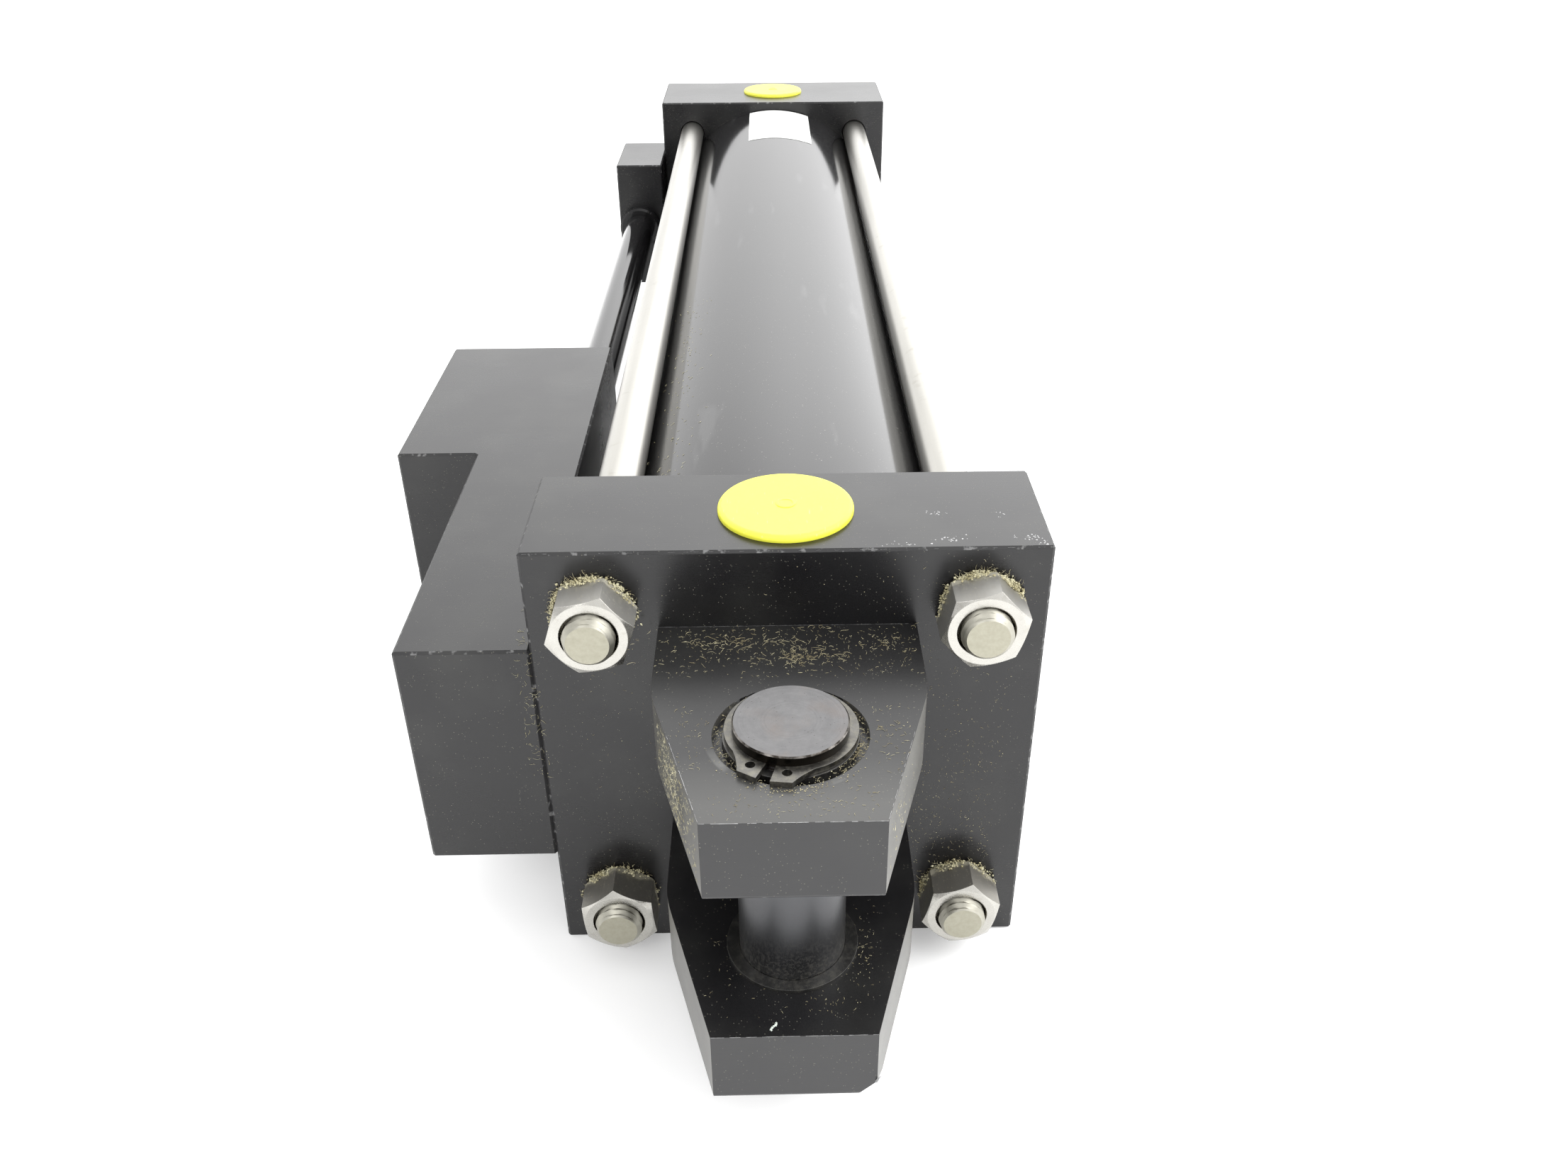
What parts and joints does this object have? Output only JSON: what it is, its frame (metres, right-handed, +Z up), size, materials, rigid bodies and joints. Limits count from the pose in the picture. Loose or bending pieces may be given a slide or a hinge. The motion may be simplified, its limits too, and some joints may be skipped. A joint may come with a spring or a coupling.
{
  "type": "hydraulic tie-rod cylinder",
  "caption": "Square-headed tie-rod cylinder with a clevis and pin at the cap, a sliding rod, and a side manifold joined by a tube to the rod head.",
  "frame": {"origin": "centre of the clevis pivot pin, midway between the two ears", "axes": "+Y runs along the cylinder from the clevis to the rod end, +Z is up on the side of the two plugged ports and along the pin, +X is to the right, away from the manifold"},
  "size_m": [0.1397, 0.5433, 0.0966],
  "materials": {
    "black_anodised": "black anodised over fine milling marks, satin",
    "barrel_anodised": "smooth black anodised, semi-gloss",
    "tube_black": "black anodised, semi-gloss",
    "stainless_rod": "centreless ground",
    "stainless_nut": "machined, bright with dust",
    "pin_steel": "black oxide, satin",
    "ring_steel": "phosphated spring steel",
    "yellow_plastic": "moulded polyethylene",
    "bronze": "turned bearing bronze",
    "bush_steel": "turned, dark and dusty",
    "seal_rubber": "moulded",
    "black_screw": "black oxide",
    "piston_iron": "turned",
    "wear_band": "filled PTFE",
    "chrome_rod": "hard chrome, polished",
    "retainer_steel": "black oxide, turned",
    "label_white": "blank adhesive label"
  },
  "bodies": {
    "cylinder": {"barrel": "barrel_anodised", "blank_label": "label_white", "cap_barrel_seal": "seal_rubber", "cap_end_nuts": "stainless_nut", "clevis_ear_lower": "black_anodised", "clevis_ear_screws": "black_screw", "clevis_ear_upper": "black_anodised", "ear_bush_lower": "bush_steel", "ear_bush_upper": "bush_steel", "end_cap": "black_anodised", "gland_retainer": "retainer_steel", "gland_retainer_screws": "black_screw", "gland_seal": "seal_rubber", "head_barrel_seal": "seal_rubber", "head_end_nuts": "stainless_nut", "manifold_block": "black_anodised", "manifold_face_seal": "seal_rubber", "manifold_passage_plugs": "black_screw", "manifold_screws": "black_screw", "rod_gland": "bronze", "rod_head": "black_anodised", "rod_seal": "seal_rubber", "rod_wiper": "seal_rubber", "tie_rod_lower_left": "stainless_rod", "tie_rod_lower_right": "stainless_rod", "tie_rod_upper_left": "stainless_rod", "tie_rod_upper_right": "stainless_rod", "transfer_block": "black_anodised", "transfer_block_screws": "black_screw", "transfer_block_seal": "seal_rubber", "transfer_tube": "tube_black", "transfer_tube_collar_far": "tube_black", "transfer_tube_collar_near": "tube_black", "transfer_tube_seal_far": "seal_rubber", "transfer_tube_seal_near": "seal_rubber"},
    "piston_seals": {"piston_seal_cap_side": "seal_rubber", "piston_wear_band": "wear_band", "piston_seal_rod_side": "seal_rubber"},
    "rod": {"piston": "piston_iron", "piston_nut": "black_screw", "piston_rod": "chrome_rod", "piston_rod_seal": "seal_rubber"},
    "pin": {"pivot_pin": "pin_steel", "retaining_ring_upper": "ring_steel", "retaining_ring_lower": "ring_steel"},
    "cap_plug": {"cap_port_plug": "yellow_plastic"},
    "head_plug": {"head_port_plug": "yellow_plastic"}
  },
  "joints": [
    {"name": "rod_slide", "type": "slide", "parent": "cylinder", "child": "piston_seals", "axis": [0, 1, 0], "range_m": [0, 0.3048]},
    {"name": "rod_spin", "type": "hinge", "parent": "piston_seals", "child": "rod", "pos_m": [0, 0, 0], "axis": [0, 1, 0], "continuous": true},
    {"name": "pin_spin", "type": "hinge", "parent": "cylinder", "child": "pin", "pos_m": [0, 0, 0], "axis": [0, 0, 1], "continuous": true},
    {"name": "cap_plug_pull", "type": "slide", "parent": "cylinder", "child": "cap_plug", "axis": [0, 0, 1], "range_m": [0, 0.012]},
    {"name": "head_plug_pull", "type": "slide", "parent": "cylinder", "child": "head_plug", "axis": [0, 0, 1], "range_m": [0, 0.012]}
  ]
}
